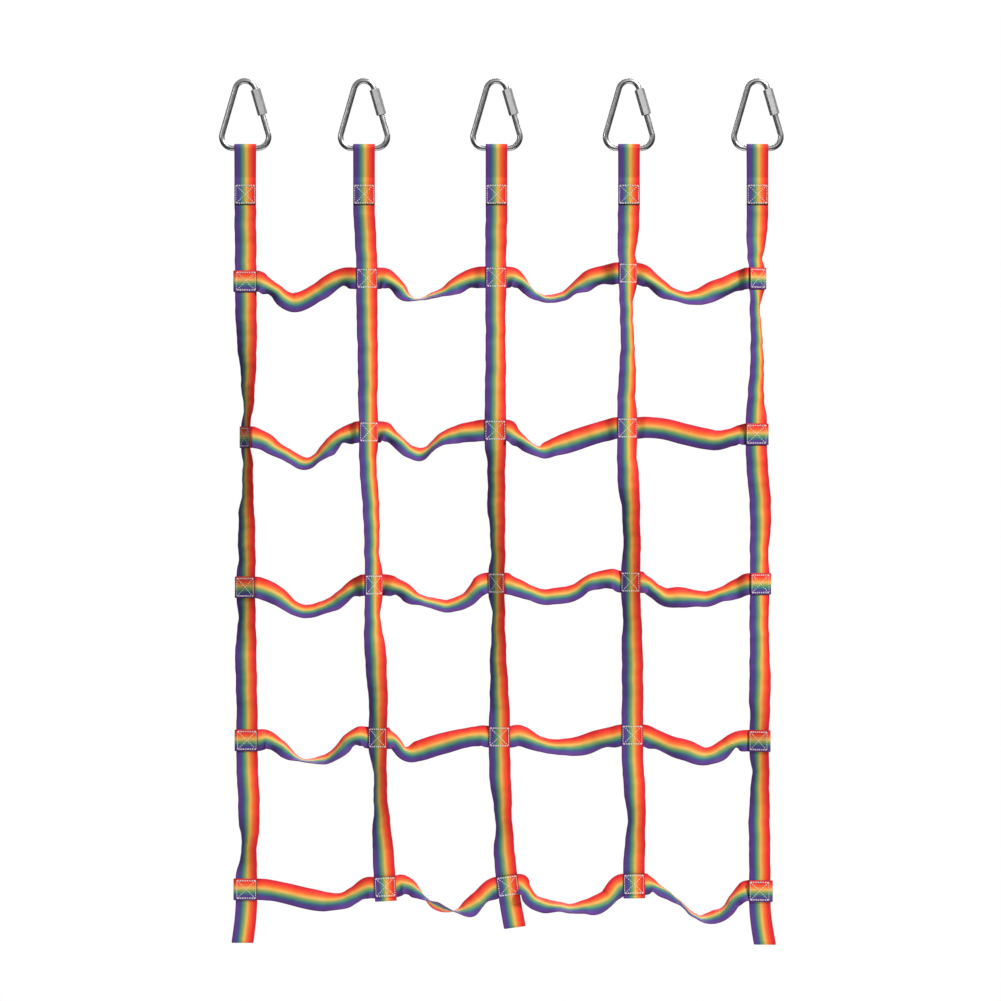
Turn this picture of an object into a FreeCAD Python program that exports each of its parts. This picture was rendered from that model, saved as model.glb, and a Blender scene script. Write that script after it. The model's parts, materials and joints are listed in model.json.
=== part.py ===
"""Webbing climbing net that hangs from five delta links.

Five vertical and five horizontal straps of flat webbing cross at 25 sewn places. Each vertical
strap ends at the top in a loop round the bottom bar of a steel delta link, and a nut closes
each link. Straps 1, 3 and 5 end at the bottom in a tie-down loop.

Frame, in millimetres: X to the right, Z up, the net's front face looks to -Y. The origin is the
inside of the middle link's crown, where its hook bears. The net folds on a horizontal line
midway between each two rows, so every vertical strap is one piece per row.
"""
import FreeCAD
import Part
import math
import os

from FreeCAD import Placement, Rotation, Vector

COLUMNS = (1, 2, 3, 4, 5)
ROWS = (1, 2, 3, 4, 5)
OUTER_COLUMNS = (1, 5)
TIE_DOWN_COLUMNS = (1, 3, 5)

DRIVING_DIMENSIONS = {
    "strap_width": 38.0,
    "strap_thickness": 2.0,
    "column_pitch": 224.0,
    "row_pitch": 267.0,
    "first_row_drop": 340.0,
    "wire_diameter": 10.0,
    "link_width": 92.0,
    "link_height": 128.0,
    "crown_radius": 18.0,
    "corner_radius": 20.0,
    "thread_gap": 12.0,
    "upper_thread": 14.0,
    "nut_length": 46.0,
    "nut_flats": 15.0,
    "nut_bore": 10.1,
    "nut_start": 2.0,
    "nut_chamfer": 1.2,
    "nut_rounding": 9.0,
    "loop_slack": 0.6,
    "loop_join_drop": 59.0,
    "loop_end_drop": 98.0,
    "eye_radius": 4.0,
    "outer_tail": 94.0,
    "middle_tail": 74.0,
    "fold_gap": 2.6,
    "sewn_half_length": 22.0,
    "wrap_length": 38.0,
    "seam_width": 34.0,
    "seam_height": 33.0,
    "thread_width": 1.2,
    "thread_proud": 0.5,
    "seam_drop": 81.0,
}

# A horizontal strap's cross-sections tip with this share of its route's slope, so that
# neighbouring ones don't cross where the strap turns sharply.
SECTION_TILT = 0.5

# How far each strap stands from its even pitch, in mm to the right: at the top loop, then at
# rows 1 to 5. The second and third straps drift to the right on the way down.
COLUMN_SHIFT = {
    1: (8, 9, 9, 9, 11, 10),
    2: (-8, -3, 0, 9, 16, 29),
    3: (0, -1, -2, 0, 5, 20),
    4: (8, 6, 5, 11, 14, 17),
    5: (9, 8, 7, 13, 12, 13),
}

# How far each crossing stands above its row's even pitch, in mm, for columns 1 to 5.
CROSSING_LIFT = {
    1: (-6, -1, 1, 8, -1),
    2: (-12, -3, 0, 4, -7),
    3: (-8, -4, -1, 1, -2),
    4: (-9, -5, -3, 0, -10),
    5: (-3, 1, 3, 6, -6),
}

# Twist of each vertical strap a quarter of the way down and a quarter of the way up between two
# rows, in degrees, for the four gaps between rows. A positive twist takes the right edge back.
# It is flat where it is sewn and where it folds.
VERTICAL_TWIST = {
    1: ((-5, -45), (-50, -30), (-15, -5), (-5, -30)),
    2: ((10, 25), (32, 38), (-20, -5), (-35, -15)),
    3: ((15, 10), (-25, -40), (-42, -18), (-5, -20)),
    4: ((42, 20), (-5, -30), (-20, -5), (-5, -20)),
    5: ((48, 20), (0, 20), (15, -5), (-30, -5)),
}

# The slack of each horizontal strap between two crossings, as (share of the bay in percent,
# drop below the straight line in mm, roll in degrees). Roll 0 shows the face to the front, and a
# positive roll leans the upper edge back. Rows 1 to 5, each with bays 1 to 4.
BAY_ROUTE = {
    1: (
        ((15, 5, 35), (25, 17, 50), (33, 31, 40), (40, 38, 20), (48, 34, 25), (58, 22, 28),
         (68, 9, 20), (80, -1, 5)),
        ((15, 0, 25), (25, 14, 62), (33, 33, 80), (40, 38, 86), (50, 32, 74), (60, 23, 66),
         (72, 9, 40), (83, 1, 12)),
        ((15, 1, 35), (25, 17, 78), (32, 32, 80), (40, 40, 68), (50, 37, 64), (60, 22, 56),
         (72, 8, 15), (83, 3, 0)),
        ((15, 6, 35), (25, 19, 52), (35, 33, 60), (45, 38, 55), (56, 35, 38), (67, 24, 18),
         (77, 16, 8), (86, 5, 15)),
    ),
    2: (
        ((15, 7, 30), (25, 22, 54), (37, 38, 57), (48, 50, 55), (58, 42, 66), (66, 24, 56),
         (75, 9, 45), (85, 2, 20)),
        ((15, 0, 40), (25, 16, 64), (33, 33, 58), (40, 39, 50), (48, 31, 68), (58, 13, 54),
         (70, 4, 36), (83, 1, 15)),
        ((15, 9, 50), (25, 24, 78), (32, 34, 75), (37, 35, 45), (45, 30, 32), (57, 22, 8),
         (70, 13, 0), (84, 4, 0)),
        ((15, -3, 5), (30, -1, 0), (45, 6, 0), (60, 12, 0), (70, 13, 20), (80, 6, 40),
         (87, 1, 30)),
    ),
    3: (
        ((15, 5, 5), (25, 15, 28), (35, 33, 48), (45, 43, 52), (57, 40, 52), (67, 29, 54),
         (77, 14, 50), (86, 3, 22)),
        ((15, 2, 28), (25, 10, 48), (35, 23, 66), (47, 32, 62), (58, 38, 56), (68, 33, 57),
         (77, 22, 62), (86, 4, 45)),
        ((15, 6, 32), (25, 15, 52), (35, 23, 46), (47, 22, 40), (58, 16, 42), (67, 1, 52),
         (76, -6, 40), (86, -7, 20)),
        ((14, 3, 45), (20, 14, 50), (28, 25, 25), (38, 25, 15), (50, 26, 40), (61, 26, 45),
         (71, 17, 52), (82, 8, 22)),
    ),
    4: (
        ((15, -3, 40), (25, 8, 66), (35, 26, 80), (42, 36, 86), (50, 38, 80), (60, 35, 66),
         (69, 21, 70), (77, 2, 60), (86, -5, 30)),
        ((14, 3, 55), (21, 20, 75), (26, 25, 50), (33, 24, 8), (45, 16, 0), (58, 8, 10),
         (70, 1, 28), (85, -3, 20)),
        ((15, -2, 10), (27, 8, 48), (37, 16, 50), (50, 19, 40), (62, 16, 22), (74, 9, 0),
         (86, 3, 0)),
        ((15, 4, 12), (30, 17, 0), (43, 22, 12), (54, 30, 30), (63, 27, 42), (73, 14, 38),
         (84, 3, 5)),
    ),
    5: (
        ((15, 2, 0), (30, 10, 0), (45, 19, 3), (57, 23, 28), (67, 22, 50), (77, 12, 42),
         (87, 1, 10)),
        ((14, -6, 35), (23, 0, 68), (29, 9, 90), (36, 25, 108), (43, 35, 115), (52, 41, 102),
         (60, 43, 80), (67, 38, 45), (77, 26, 10)),
        ((14, 7, 60), (20, 22, 70), (30, 33, 62), (42, 38, 68), (50, 40, 68), (60, 38, 55),
         (70, 34, 36), (80, 24, 22)),
        ((14, -1, 50), (20, 3, 76), (28, 11, 86), (36, 26, 86), (44, 43, 80), (52, 53, 80),
         (58, 53, 64), (65, 48, 58), (72, 36, 72), (79, 16, 66), (87, 4, 32)),
    ),
}

# How far each bay bulges to the back at its middle, in mm. Rows 1 to 5, bays 1 to 4.
BAY_BULGE = {
    1: (7, -5, 6, -8),
    2: (-6, 8, -5, 6),
    3: (8, -7, 5, 7),
    4: (-5, 6, 7, -6),
    5: (6, -4, -7, 5),
}

# How far the lowest piece of each vertical strap leans to the right going down, in degrees.
BOTTOM_LEAN = {1: 0.0, 2: 3.0, 3: 8.0, 4: 1.0, 5: 0.0}


doc = FreeCAD.newDocument("climbing_net")
sheet = doc.addObject("Spreadsheet::Sheet", "sizes")
for line, (alias, value) in enumerate(DRIVING_DIMENSIONS.items(), start=1):
    sheet.set(f"A{line}", alias)
    sheet.set(f"B{line}", str(value))
    sheet.setAlias(f"B{line}", alias)
doc.recompute()


def size(alias):
    """A driving dimension, read from the sheet."""
    return float(sheet.get(alias))


STRAP_WIDTH = size("strap_width")
THICKNESS = size("strap_thickness")
HALF_WIDTH = STRAP_WIDTH / 2
HALF_THICKNESS = THICKNESS / 2
SEWN_HALF = size("sewn_half_length")

WIRE_RADIUS = size("wire_diameter") / 2
BAR_Z = WIRE_RADIUS - (size("link_height") - size("wire_diameter"))
CROWN_Z = WIRE_RADIUS - size("crown_radius")
CORNER_X = (size("link_width") - size("wire_diameter")) / 2 - size("corner_radius")
CORNER_Z = BAR_Z + size("corner_radius")
LEG_SPAN = math.hypot(CORNER_X, CROWN_Z - CORNER_Z)
RADIUS_STEP = size("corner_radius") - size("crown_radius")
LEG_LENGTH = math.sqrt(LEG_SPAN ** 2 - RADIUS_STEP ** 2)
LEG_TILT = (math.degrees(math.atan2(CORNER_X, CROWN_Z - CORNER_Z))
            + math.degrees(math.asin(RADIUS_STEP / LEG_SPAN)))
LEG_DOWN = Vector(math.sin(math.radians(LEG_TILT)), 0, -math.cos(math.radians(LEG_TILT)))
LEG_TOP = Vector(size("crown_radius") * math.cos(math.radians(LEG_TILT)), 0,
                 CROWN_Z + size("crown_radius") * math.sin(math.radians(LEG_TILT)))


def column_x(column, row=0):
    """Centre of a vertical strap at a row, or at its top loop for row 0."""
    return (column - 3) * size("column_pitch") + COLUMN_SHIFT[column][row]


def row_z(row):
    """Even height of a row."""
    return -size("first_row_drop") - (row - 1) * size("row_pitch")


def crossing_z(row, column):
    """Height of a crossing's centre."""
    return row_z(row) + CROSSING_LIFT[row][column - 1]


def fold_z(upper_row):
    """Height of the fold line below a row."""
    return (row_z(upper_row) + row_z(upper_row + 1)) / 2


def vertical_depth(row, column):
    """Depth of the vertical strap's middle layer at a crossing, positive to the back."""
    wrapped_below = row == ROWS[-1] and column not in OUTER_COLUMNS
    return THICKNESS if wrapped_below else 0.0


def horizontal_depth(row, column):
    """Depth of the horizontal strap's middle layer at a crossing, positive to the back.

    It passes behind the vertical strap, and behind both layers of the lowest outer crossings,
    but it lies between the two layers of the lowest inner ones.
    """
    if row < ROWS[-1]:
        return THICKNESS
    return 2 * THICKNESS if column in OUTER_COLUMNS else 0.0


def section(centre, across, facing):
    """Corners of a strap's cross-section, its width along across and thickness along facing."""
    side = across * HALF_WIDTH
    skin = facing * HALF_THICKNESS
    return [centre + side + skin, centre + side - skin, centre - side - skin,
            centre - side + skin]


def strap_solid(sections):
    """Solid of a strap that passes through the cross-sections in order, by ruled faces."""
    faces = [Part.Face(Part.makePolygon(corners + corners[:1]))
             for corners in (sections[0], sections[-1])]
    for near, far in zip(sections, sections[1:]):
        for corner in range(4):
            following = (corner + 1) % 4
            faces.append(Part.makeRuledSurface(Part.makeLine(near[corner], near[following]),
                                               Part.makeLine(far[corner], far[following]), 1))
    shell = Part.makeShell(faces)
    shell.sewShape()
    solid = Part.makeSolid(shell)
    if solid.Volume < 0:
        solid.reverse()
    return solid


def add_shape(label, shape):
    """Puts a finished shape in the document as a sub-part at the frame's origin."""
    feature = doc.addObject("Part::Feature", label)
    feature.Label = label
    feature.Shape = shape
    feature.Placement = Placement()
    return feature


# ---- vertical straps -------------------------------------------------------------------------

def vertical_section(x, y, z, twist=0.0, lean=0.0):
    """Cross-section of a vertical strap, twisted about Z and leaning to the right going down."""
    turn = Rotation(Vector(0, 0, 1), twist) * Rotation(Vector(0, 1, 0), -lean)
    return section(Vector(x, y, z), turn.multVec(Vector(1, 0, 0)),
                   turn.multVec(Vector(0, 1, 0)))


def between(start, end, share):
    """The value a share of the way from start to end."""
    return start + (end - start) * share


def gap_sections(column, gap, upper_half):
    """Cross-sections of half the gap below row number gap, from the top down."""
    lean = BOTTOM_LEAN[column] if gap + 1 == ROWS[-1] else 0.0
    top_x = column_x(column, gap)
    top_z = crossing_z(gap, column) - SEWN_HALF
    bottom_x = column_x(column, gap + 1) - SEWN_HALF * math.sin(math.radians(lean))
    bottom_y = vertical_depth(gap + 1, column)
    bottom_z = crossing_z(gap + 1, column) + SEWN_HALF * math.cos(math.radians(lean))
    upper_twist, lower_twist = VERTICAL_TWIST[column][gap - 1]
    middle_z = fold_z(gap)
    middle_x = between(top_x, bottom_x, 0.5)
    if upper_half:
        quarter = vertical_section(between(top_x, middle_x, 0.5), 0,
                                   between(top_z, middle_z, 0.5), upper_twist)
        return [vertical_section(top_x, 0, top_z), quarter,
                vertical_section(middle_x, 0, middle_z + size("fold_gap"))]
    quarter = vertical_section(between(middle_x, bottom_x, 0.5), bottom_y / 2,
                               between(middle_z, bottom_z, 0.5), lower_twist)
    return [vertical_section(middle_x, 0, middle_z - size("fold_gap")), quarter,
            vertical_section(bottom_x, bottom_y, bottom_z, 0.0, lean)]


def slab(points, x):
    """A strap-wide slab whose outline in the YZ plane is given by points (y, z)."""
    corners = [Vector(x - HALF_WIDTH, y, z) for y, z in points]
    face = Part.Face(Part.makePolygon(corners + corners[:1]))
    return face.extrude(Vector(STRAP_WIDTH, 0, 0))


def tangent_point(y, z, eye_y, eye_z, radius, side):
    """Where a line from (y, z) touches the circle round the eye, on the side given as -1 or 1."""
    away_y = y - eye_y
    away_z = z - eye_z
    distance = math.hypot(away_y, away_z)
    toward = math.atan2(away_z, away_y)
    opening = math.acos(radius / distance)
    turn = 1 if (away_z < 0) == (side > 0) else -1
    angle = toward + turn * opening
    return (eye_y + radius * math.cos(angle), eye_z + radius * math.sin(angle))


def turned_loop(x, eye_y, eye_z, eye_radius, join_z, back_skin, front_skin):
    """A strap that turns round an eye and comes back to join_z on both sides.

    back_skin and front_skin are the depths of the two runs' inner faces at join_z.
    """
    outer_radius = eye_radius + THICKNESS
    pieces = []
    for inner_y, side in ((back_skin, 1), (front_skin, -1)):
        outer_y = inner_y + side * THICKNESS
        inner_touch = tangent_point(inner_y, join_z, eye_y, eye_z, eye_radius, side)
        outer_touch = tangent_point(outer_y, join_z, eye_y, eye_z, outer_radius, side)
        pieces.append(slab([(inner_y, join_z), (outer_y, join_z), outer_touch, (eye_y, eye_z)], x))
    centre = Vector(x - HALF_WIDTH, eye_y, eye_z)
    along_x = Vector(1, 0, 0)
    disc = Part.makeCylinder(outer_radius, STRAP_WIDTH, centre, along_x)
    body = disc.fuse(pieces)
    eye = Part.makeCylinder(eye_radius, STRAP_WIDTH, centre, along_x)
    touches = [tangent_point(inner_y, join_z, eye_y, eye_z, eye_radius, side)
               for inner_y, side in ((front_skin, -1), (back_skin, 1))]
    outline = [(front_skin, join_z), touches[0], (eye_y, eye_z), touches[1], (back_skin, join_z)]
    if abs(front_skin - back_skin) < 1e-6:
        outline = outline[:-1]
    return body.cut([eye, slab(outline, x)])


def box_layer(x, middle_y, low_z, high_z):
    """One flat layer of a vertical strap."""
    return Part.makeBox(STRAP_WIDTH, THICKNESS, high_z - low_z,
                        Vector(x - HALF_WIDTH, middle_y - HALF_THICKNESS, low_z))


def top_loop(column):
    """Loop of a vertical strap over its link's bar, with the end sewn down in front."""
    x = column_x(column)
    join_z = BAR_Z - size("loop_join_drop")
    end_z = BAR_Z - size("loop_end_drop")
    loop = turned_loop(x, 0, BAR_Z, WIRE_RADIUS + size("loop_slack"), join_z, -HALF_THICKNESS,
                       -HALF_THICKNESS)
    main = box_layer(x, 0, end_z, join_z)
    flap = box_layer(x, -THICKNESS, end_z, join_z)
    return loop.fuse([main, flap]), end_z


def bottom_end(column):
    """Lowest crossing of a vertical strap with its tie-down loop or its turned-up end."""
    x = column_x(column, ROWS[-1])
    z = crossing_z(ROWS[-1], column)
    main_y = vertical_depth(ROWS[-1], column)
    flap_y = THICKNESS if column in OUTER_COLUMNS else -THICKNESS
    layers = [box_layer(x, main_y, z - SEWN_HALF, z + SEWN_HALF),
              box_layer(x, flap_y, z - SEWN_HALF, z + HALF_WIDTH)]
    back_y, front_y = max(main_y, flap_y), min(main_y, flap_y)
    back_skin = back_y - HALF_THICKNESS
    front_skin = front_y + HALF_THICKNESS
    eye_y = (back_skin + front_skin) / 2
    if column in TIE_DOWN_COLUMNS:
        tail = size("outer_tail") if column in OUTER_COLUMNS else size("middle_tail")
        eye_radius = size("eye_radius")
        eye_z = z - tail + eye_radius + THICKNESS
        turn = turned_loop(x, eye_y, eye_z, eye_radius, z - SEWN_HALF, back_skin, front_skin)
    else:
        centre = Vector(x - HALF_WIDTH, eye_y, z - SEWN_HALF)
        rim = Part.makeCylinder(HALF_THICKNESS + THICKNESS, STRAP_WIDTH, centre, Vector(1, 0, 0))
        bore = Part.makeCylinder(HALF_THICKNESS, STRAP_WIDTH, centre, Vector(1, 0, 0))
        upper = Part.makeBox(STRAP_WIDTH, 4 * THICKNESS, 2 * THICKNESS,
                             centre - Vector(0, 2 * THICKNESS, 0))
        turn = rim.cut([bore, upper])
    shape = turn.fuse(layers)
    shape.rotate(Vector(x, 0, z), Vector(0, 1, 0), -BOTTOM_LEAN[column])
    return shape


def vertical_strap(column, row):
    """The piece of a vertical strap that is sewn to one row."""
    pieces = []
    sections = []
    if row == ROWS[0]:
        loop, end_z = top_loop(column)
        pieces.append(loop)
        sections.append(vertical_section(column_x(column), 0, end_z))
        sections.append(vertical_section(column_x(column, row), 0,
                                         crossing_z(row, column) + SEWN_HALF))
    else:
        sections.extend(gap_sections(column, row - 1, False))
    if row == ROWS[-1]:
        pieces.append(bottom_end(column))
    else:
        sections.extend(gap_sections(column, row, True))
    ribbon = strap_solid(sections)
    return ribbon.fuse(pieces).removeSplitter() if pieces else ribbon


# ---- horizontal straps -----------------------------------------------------------------------

def horizontal_section(x, y, z, tilt, roll):
    """Cross-section of a horizontal strap, tilted in the net's plane and rolled about X."""
    turn = Rotation(Vector(0, 1, 0), -tilt) * Rotation(Vector(1, 0, 0), -roll)
    return section(Vector(x, y, z), turn.multVec(Vector(0, 0, 1)),
                   turn.multVec(Vector(0, 1, 0)))


def bay_points(row, bay):
    """Middle line of one bay as (x, y, z, roll), from the left crossing to the right one."""
    left = Vector(column_x(bay, row), horizontal_depth(row, bay), crossing_z(row, bay))
    right = Vector(column_x(bay + 1, row), horizontal_depth(row, bay + 1),
                   crossing_z(row, bay + 1))
    points = []
    for percent, drop, roll in BAY_ROUTE[row][bay - 1]:
        share = percent / 100
        straight = left + (right - left) * share
        bulge = BAY_BULGE[row][bay - 1] * math.sin(math.pi * share) ** 2
        points.append((straight.x, straight.y + bulge, straight.z - drop, roll))
    return points


def sewn_points(row, column):
    """The two ends of the flat stretch of a horizontal strap on a crossing."""
    x = column_x(column, row)
    y = horizontal_depth(row, column)
    z = crossing_z(row, column)
    left = HALF_WIDTH if column == COLUMNS[0] else SEWN_HALF
    right = HALF_WIDTH if column == COLUMNS[-1] else SEWN_HALF
    return [(x - left, y, z, 0.0), (x + right, y, z, 0.0)]


def strap_route(row):
    """Middle line of a horizontal strap, from its left wrap to its right one."""
    route = sewn_points(row, COLUMNS[0])
    for bay in COLUMNS[:-1]:
        route.extend(bay_points(row, bay))
        route.extend(sewn_points(row, bay + 1))
    return route


def end_wrap(row, column):
    """Turn of a horizontal strap round an outer vertical strap's edge, and its end in front."""
    outward = -1 if column == COLUMNS[0] else 1
    layers_held = 2 if row == ROWS[-1] else 1
    edge_x = column_x(column, row) + outward * HALF_WIDTH
    low_z = crossing_z(row, column) - HALF_WIDTH
    inner_radius = layers_held * HALF_THICKNESS
    centre = Vector(edge_x, -HALF_THICKNESS + inner_radius, low_z)
    up = Vector(0, 0, 1)
    rim = Part.makeCylinder(inner_radius + THICKNESS, STRAP_WIDTH, centre, up)
    bore = Part.makeCylinder(inner_radius, STRAP_WIDTH, centre, up)
    room = inner_radius + 2 * THICKNESS
    inner_half = Part.makeBox(room, 2 * room, STRAP_WIDTH,
                              centre - Vector(room if outward > 0 else 0, room, 0))
    turn = rim.cut([bore, inner_half])
    flap_x = edge_x - size("wrap_length") if outward > 0 else edge_x
    flap = Part.makeBox(size("wrap_length"), THICKNESS, STRAP_WIDTH,
                        Vector(flap_x, centre.y - inner_radius - THICKNESS, low_z))
    return turn.fuse(flap)


def horizontal_strap(row):
    """One horizontal strap with its wrapped ends, and the length of its middle line."""
    route = strap_route(row)
    sections = []
    length = 0.0
    for index, (x, y, z, roll) in enumerate(route):
        before = route[max(index - 1, 0)]
        after = route[min(index + 1, len(route) - 1)]
        sewn = roll == 0.0 and (z == before[2] or z == after[2])
        slope = math.degrees(math.atan2(after[2] - before[2], after[0] - before[0]))
        tilt = 0.0 if sewn else slope * SECTION_TILT
        sections.append(horizontal_section(x, y, z, tilt, roll))
        length += math.dist(before[:3], (x, y, z))
    wraps = [end_wrap(row, column) for column in OUTER_COLUMNS]
    return strap_solid(sections).fuse(wraps).removeSplitter(), length


# ---- seams -----------------------------------------------------------------------------------

def seam_pattern():
    """One box-and-cross seam of raised thread in the XZ plane, standing out towards -Y."""
    width = size("seam_width")
    height = size("seam_height")
    diagonal = math.hypot(width - size("thread_width"), height - size("thread_width"))
    climb = math.degrees(math.atan2(height, width))
    rows_of_thread = (
        ("seam_top", "seam_width", 0.0, 0.0, (height - size("thread_width")) / 2),
        ("seam_bottom", "seam_width", 0.0, 0.0, -(height - size("thread_width")) / 2),
        ("seam_left", "seam_height", 90.0, -(width - size("thread_width")) / 2, 0.0),
        ("seam_right", "seam_height", 90.0, (width - size("thread_width")) / 2, 0.0),
        ("seam_rising", None, climb, 0.0, 0.0),
        ("seam_falling", None, -climb, 0.0, 0.0),
    )
    bars = []
    for name, length_alias, climb_angle, x, z in rows_of_thread:
        bar = doc.addObject("Part::Box", name)
        if length_alias:
            bar.setExpression("Length", f"sizes.{length_alias}")
            length = size(length_alias)
        else:
            bar.Length = diagonal
            length = diagonal
        bar.setExpression("Width", "sizes.thread_proud")
        bar.setExpression("Height", "sizes.thread_width")
        turn = Rotation(Vector(0, 1, 0), -climb_angle)
        corner = turn.multVec(Vector(-length / 2, -size("thread_proud"),
                                     -size("thread_width") / 2))
        bar.Placement = Placement(Vector(x, 0, z) + corner, turn)
        bars.append(bar)
    pattern = doc.addObject("Part::MultiFuse", "seam_pattern")
    pattern.Shapes = bars
    doc.recompute()
    return pattern


def seam_pair(pattern, x, z, front_y, back_y, lean=0.0):
    """A seam's raised thread on the front face and on the back face of the sewn layers."""
    pair = []
    for y, turn in ((front_y, 0.0), (back_y, 180.0)):
        shape = pattern.Shape.copy()
        shape.Placement = Placement(Vector(x, y, z), Rotation(Vector(0, 1, 0), -lean)
                                    * Rotation(Vector(0, 0, 1), turn))
        pair.append(shape)
    return pair


def row_seams(pattern, row):
    """The five seams of a row, front and back."""
    seams = []
    for column in COLUMNS:
        layers = [vertical_depth(row, column), horizontal_depth(row, column)]
        if column in OUTER_COLUMNS or row == ROWS[-1]:
            layers.append(-THICKNESS)
        lean = BOTTOM_LEAN[column] if row == ROWS[-1] else 0.0
        seams.extend(seam_pair(pattern, column_x(column, row), crossing_z(row, column),
                               min(layers) - HALF_THICKNESS, max(layers) + HALF_THICKNESS, lean))
    return Part.makeCompound(seams)


def loop_seams(pattern):
    """The seams that close the five top loops, front and back."""
    seams = []
    for column in COLUMNS:
        seams.extend(seam_pair(pattern, column_x(column), BAR_Z - size("seam_drop"),
                               -HALF_THICKNESS - THICKNESS, HALF_THICKNESS))
    return Part.makeCompound(seams)


# ---- delta links -----------------------------------------------------------------------------

def wire_arc(name, x, z, radius_alias, start_angle, end_angle):
    """Bend of a link's wire about (x, z), from one angle above +X to another."""
    arc = doc.addObject("Part::Torus", name)
    arc.setExpression("Radius1", f"sizes.{radius_alias}")
    arc.setExpression("Radius2", "sizes.wire_diameter / 2")
    arc.Angle3 = end_angle - start_angle
    stand = Rotation(Vector(1, 0, 0), 90)
    arc.Placement = Placement(Vector(x, 0, z), Rotation(Vector(0, 1, 0), -start_angle) * stand)
    return arc


def wire_run(name, start, direction, length):
    """Straight stretch of a link's wire."""
    run = doc.addObject("Part::Cylinder", name)
    run.setExpression("Radius", "sizes.wire_diameter / 2")
    run.Height = length
    run.Placement = Placement(start, Rotation(Vector(0, 0, 1), direction))
    return run


def link_wire(column):
    """Bent wire of a delta link, open in its right leg where the nut covers it."""
    prefix = f"wire_{column}"
    left_leg_top = Vector(-LEG_TOP.x, 0, LEG_TOP.z)
    left_leg_down = Vector(-LEG_DOWN.x, 0, LEG_DOWN.z)
    lower_thread = size("upper_thread") + size("thread_gap")
    bends = [
        wire_arc(f"{prefix}_crown", 0, CROWN_Z, "crown_radius", LEG_TILT, 180 - LEG_TILT),
        wire_arc(f"{prefix}_right_corner", CORNER_X, CORNER_Z, "corner_radius", -90, LEG_TILT),
        wire_arc(f"{prefix}_left_corner", -CORNER_X, CORNER_Z, "corner_radius", 180 - LEG_TILT,
                 270),
    ]
    runs = [
        wire_run(f"{prefix}_bar", Vector(-CORNER_X, 0, BAR_Z), Vector(1, 0, 0), 2 * CORNER_X),
        wire_run(f"{prefix}_left_leg", left_leg_top, left_leg_down, LEG_LENGTH),
        wire_run(f"{prefix}_upper_end", LEG_TOP, LEG_DOWN, size("upper_thread")),
        wire_run(f"{prefix}_lower_end", LEG_TOP + LEG_DOWN * lower_thread, LEG_DOWN,
                 LEG_LENGTH - lower_thread),
    ]
    wire = doc.addObject("Part::MultiFuse", f"link_{column}_wire")
    wire.Label = f"link_{column}_wire"
    wire.Shapes = bends + runs
    wire.Placement = Placement(Vector(column_x(column), 0, 0), Rotation())
    return wire


def link_nut(column):
    """Hexagonal sleeve that screws along the link's right leg over the gap."""
    prefix = f"nut_{column}"
    sleeve = doc.addObject("Part::Prism", f"{prefix}_sleeve")
    sleeve.Polygon = 6
    sleeve.setExpression("Circumradius", "sizes.nut_flats / 2 / cos(30)")
    sleeve.setExpression("Height", "sizes.nut_length")
    rounding = doc.addObject("Part::Cylinder", f"{prefix}_rounding")
    rounding.setExpression("Radius", "sizes.nut_rounding")
    rounding.setExpression("Height", "sizes.nut_length")
    doc.recompute()
    chamfer = doc.addObject("Part::Chamfer", f"{prefix}_chamfer")
    chamfer.Base = rounding
    rims = [number for number, edge in enumerate(rounding.Shape.Edges, start=1)
            if isinstance(edge.Curve, Part.Circle)]
    chamfer.Edges = [(number, size("nut_chamfer"), size("nut_chamfer")) for number in rims]
    rounded = doc.addObject("Part::Common", f"{prefix}_rounded")
    rounded.Base = sleeve
    rounded.Tool = chamfer
    bore = doc.addObject("Part::Cylinder", f"{prefix}_bore")
    bore.setExpression("Radius", "sizes.nut_bore / 2")
    bore.setExpression("Height", "sizes.nut_length")
    nut = doc.addObject("Part::Cut", f"link_{column}_nut")
    nut.Label = f"link_{column}_nut"
    nut.Base = rounded
    nut.Tool = bore
    start = LEG_TOP + LEG_DOWN * size("nut_start")
    nut.Placement = Placement(Vector(column_x(column), 0, 0) + start,
                              Rotation(Vector(0, 0, 1), LEG_DOWN))
    return nut


def check_document():
    """Stops if any object of the document failed to build."""
    for item in doc.Objects:
        if {"Invalid", "Error"} & set(item.State):
            raise RuntimeError(f"{item.Label} did not build: {item.State}")


def write_subpart(item):
    """Writes one sub-part to its STEP file, once its shape is sound."""
    shape = item.Shape
    if shape.isNull() or not shape.isValid() or not shape.Solids:
        raise RuntimeError(f"{item.Label} has no sound shape")
    shape.exportStep(f"parts/{item.Label}.step")


subparts = []
for column in COLUMNS:
    subparts.append(link_wire(column))
    subparts.append(link_nut(column))
    for row in ROWS:
        subparts.append(add_shape(f"vertical_strap_{column}_row_{row}",
                                  vertical_strap(column, row)))
for row in ROWS:
    strap, run_length = horizontal_strap(row)
    subparts.append(add_shape(f"horizontal_strap_{row}", strap))
    print(f"horizontal strap {row}: {run_length:.0f} mm between its outer edges")
seam = seam_pattern()
for row in ROWS:
    subparts.append(add_shape(f"row_{row}_stitching", row_seams(seam, row)))
subparts.append(add_shape("top_loop_stitching", loop_seams(seam)))

doc.recompute()
check_document()
os.makedirs("parts", exist_ok=True)
for subpart in subparts:
    write_subpart(subpart)
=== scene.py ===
"""The looks of a webbing climbing net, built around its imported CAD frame.

Lengths here are in millimetres in the frame's own axes (X right, Z up, front to -Y) and become
metres where a mesh is made. Every strap is a ribbon of striped webbing, swept along its route,
and the seams are single stitches of thread. The delta links and nuts are the CAD's own.
"""

import json
import math
from collections import namedtuple

import bpy
from mathutils import Matrix, Vector


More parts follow.
